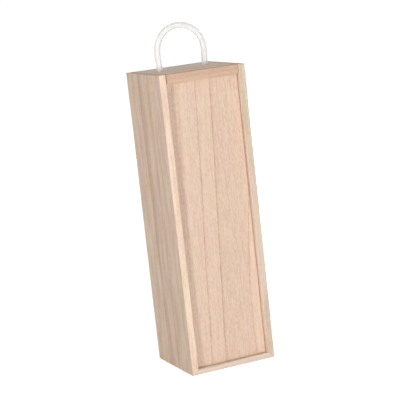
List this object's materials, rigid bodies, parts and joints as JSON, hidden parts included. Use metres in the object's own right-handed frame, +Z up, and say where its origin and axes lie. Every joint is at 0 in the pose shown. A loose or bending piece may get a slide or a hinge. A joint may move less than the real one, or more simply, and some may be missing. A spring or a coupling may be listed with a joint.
{
  "type": "wooden bottle box",
  "caption": "Tall wooden box for an upright bottle, with mitred lower corners, a grooved lid that slides up and out, and a cord loop on top.",
  "frame": {"origin": "middle of the base, at the bottom of the box", "axes": "+Z up, the lid faces -Y, +X to the right as seen from the front"},
  "size_m": [0.107, 0.1, 0.4035],
  "materials": {
    "side_wood": "sanded bare paulownia, grain along the board",
    "top_wood": "sanded bare paulownia, grain across the box",
    "back_wood": "sanded bare paulownia, upright grain",
    "lid_wood": "sanded bare paulownia, upright grain",
    "rail_wood": "sanded bare paulownia, grain across the box",
    "cord": "white braided cord",
    "pin_steel": "bright steel brads"
  },
  "bodies": {
    "case": {"left_side": "side_wood", "right_side": "side_wood", "bottom_board": "side_wood", "top_board": "top_wood", "back_board": "back_wood", "corner_pins": "pin_steel", "back_pins": "pin_steel", "cord_ends": "cord"},
    "lid": {"lid_panel": "lid_wood", "lid_rail": "rail_wood", "rail_pins": "pin_steel"},
    "handle": {"handle_cord": "cord"}
  },
  "joints": [
    {"name": "lid_slide", "type": "slide", "parent": "case", "child": "lid", "axis": [0, 0, 1], "range_m": [0, 0.36]},
    {"name": "handle_lean", "type": "hinge", "parent": "case", "child": "handle", "pos_m": [0, 0.0048, 0.3538], "axis": [1, 0, 0], "range_deg": [-85, 60], "stiffness_Nm_per_rad": 0.02}
  ]
}
